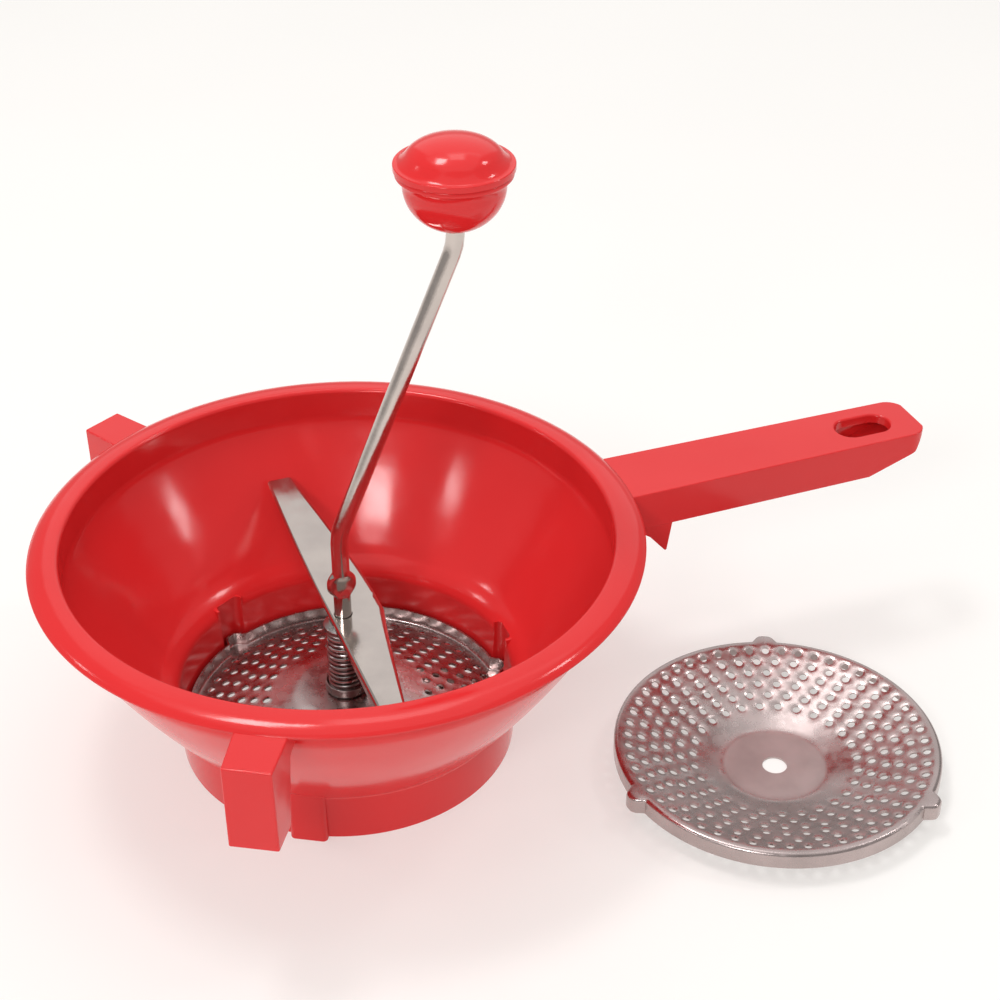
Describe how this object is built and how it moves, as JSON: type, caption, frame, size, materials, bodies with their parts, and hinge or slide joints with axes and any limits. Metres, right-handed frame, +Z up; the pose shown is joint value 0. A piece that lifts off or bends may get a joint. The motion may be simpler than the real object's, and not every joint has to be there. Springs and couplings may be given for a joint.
{
  "type": "food mill",
  "caption": "Hand-cranked food mill: moulded bowl with handle and pot-rim lugs, domed sieve disc, spring-loaded crank with blade, turning knob, and a spare disc beside it.",
  "frame": {"origin": "on the floor, below the middle of the box round the mill with its spare disc", "axes": "+X along the handle, away from the bowl; +Z up along the crank's axis"},
  "size_m": [0.3774, 0.278, 0.2539],
  "materials": {
    "red_plastic": "glossy moulded plastic",
    "sieve_steel": "pressed sheet, satin to polished",
    "polished_steel": "polished",
    "dark_steel": "drawn wire and turned parts, satin"
  },
  "bodies": {
    "mill": {"bowl": "red_plastic", "sieve_disc": "sieve_steel", "spring_cup": "dark_steel", "spring": "dark_steel", "spare_disc": "sieve_steel"},
    "press": {"spring_collar": "dark_steel"},
    "crank": {"crank_rod": "polished_steel", "blade": "polished_steel", "knob_push_nut": "dark_steel"},
    "bar": {"lock_bar": "polished_steel"},
    "knob": {"knob_cup": "red_plastic", "knob_cap": "red_plastic"}
  },
  "joints": [
    {"name": "crank_press", "type": "slide", "parent": "mill", "child": "press", "axis": [0, 0, 1], "range_m": [-0.0022, 0], "stiffness_N_per_m": 1500, "springref_m": 0.01, "deforming": ["spring"]},
    {"name": "crank_turn", "type": "hinge", "parent": "press", "child": "crank", "pos_m": [-0.06875, 0.01453, 0.05], "axis": [0, 0, 1], "continuous": true},
    {"name": "bar_turn", "type": "hinge", "parent": "press", "child": "bar", "pos_m": [-0.06875, 0.01453, 0.01], "axis": [0, 0, 1], "continuous": true},
    {"name": "knob_spin", "type": "hinge", "parent": "crank", "child": "knob", "pos_m": [-0.01875, 0.01453, 0.23], "axis": [0, 0, 1], "continuous": true}
  ]
}
